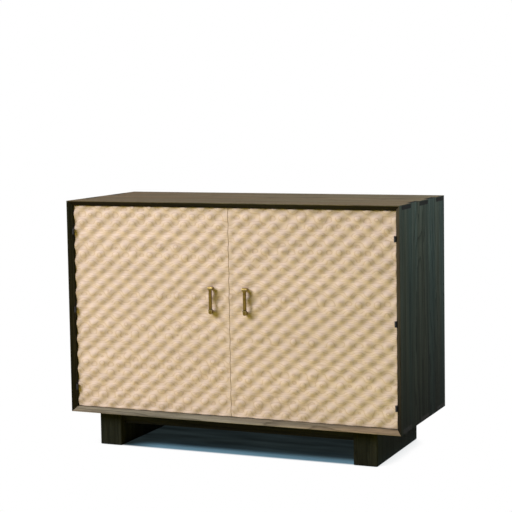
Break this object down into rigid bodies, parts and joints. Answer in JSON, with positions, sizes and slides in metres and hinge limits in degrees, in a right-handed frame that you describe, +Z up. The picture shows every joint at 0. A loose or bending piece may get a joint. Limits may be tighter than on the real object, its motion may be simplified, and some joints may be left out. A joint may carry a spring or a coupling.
{
  "type": "tansu chest",
  "caption": "Low tansu chest: a bevelled, box-jointed carcase on block feet, with shelves behind hinged doors carved in crossing waves, and upright metal handles.",
  "frame": {"origin": "on the floor under the middle of the carcase", "axes": "+X to the right along the width, -Y out of the doors, +Z up"},
  "size_m": [1.35, 0.555, 0.955],
  "materials": {
    "dark_stained_wood": "dark stain, matte, open grain",
    "pale_carved_wood": "pale bleached paulownia, matte",
    "pale_inner_wood": "plain paulownia, matte",
    "aged_brass": "aged, satin",
    "black_hinge_metal": "black, satin",
    "steel_fittings": "plain steel"
  },
  "bodies": {
    "carcase": {"back_panel": "pale_inner_wood", "bottom_panel": "dark_stained_wood", "centre_partition": "pale_inner_wood", "front_base_rail": "dark_stained_wood", "hinge_pins": "steel_fittings", "left_catch_magnet": "steel_fittings", "left_foot": "dark_stained_wood", "left_lower_frame_leaf": "black_hinge_metal", "left_lower_shelf": "pale_inner_wood", "left_middle_frame_leaf": "black_hinge_metal", "left_side_panel": "dark_stained_wood", "left_upper_frame_leaf": "black_hinge_metal", "left_upper_shelf": "pale_inner_wood", "rear_base_rail": "dark_stained_wood", "right_catch_magnet": "steel_fittings", "right_foot": "dark_stained_wood", "right_lower_frame_leaf": "black_hinge_metal", "right_lower_shelf": "pale_inner_wood", "right_middle_frame_leaf": "black_hinge_metal", "right_side_panel": "dark_stained_wood", "right_upper_frame_leaf": "black_hinge_metal", "right_upper_shelf": "pale_inner_wood", "top_panel": "dark_stained_wood"},
    "left_door": {"left_door_board_1": "pale_carved_wood", "left_door_board_2": "pale_carved_wood", "left_door_board_3": "pale_carved_wood", "left_door_board_4": "pale_carved_wood", "left_door_board_5": "pale_carved_wood", "left_door_board_6": "pale_carved_wood", "left_door_strike": "steel_fittings", "left_handle_lower_mount": "aged_brass", "left_handle_screws": "steel_fittings", "left_handle_strap": "aged_brass", "left_handle_upper_mount": "aged_brass", "left_lower_door_leaf": "black_hinge_metal", "left_middle_door_leaf": "black_hinge_metal", "left_upper_door_leaf": "black_hinge_metal"},
    "right_door": {"right_door_board_1": "pale_carved_wood", "right_door_board_2": "pale_carved_wood", "right_door_board_3": "pale_carved_wood", "right_door_board_4": "pale_carved_wood", "right_door_board_5": "pale_carved_wood", "right_door_board_6": "pale_carved_wood", "right_door_strike": "steel_fittings", "right_handle_lower_mount": "aged_brass", "right_handle_screws": "steel_fittings", "right_handle_strap": "aged_brass", "right_handle_upper_mount": "aged_brass", "right_lower_door_leaf": "black_hinge_metal", "right_middle_door_leaf": "black_hinge_metal", "right_upper_door_leaf": "black_hinge_metal"}
  },
  "joints": [
    {"name": "left_door_hinge", "type": "hinge", "parent": "carcase", "child": "left_door", "pos_m": [-0.6545, -0.266, 0.5305], "axis": [0, 0, -1], "range_deg": [0, 160]},
    {"name": "right_door_hinge", "type": "hinge", "parent": "carcase", "child": "right_door", "pos_m": [0.6545, -0.266, 0.5305], "axis": [0, 0, 1], "range_deg": [0, 160]}
  ]
}
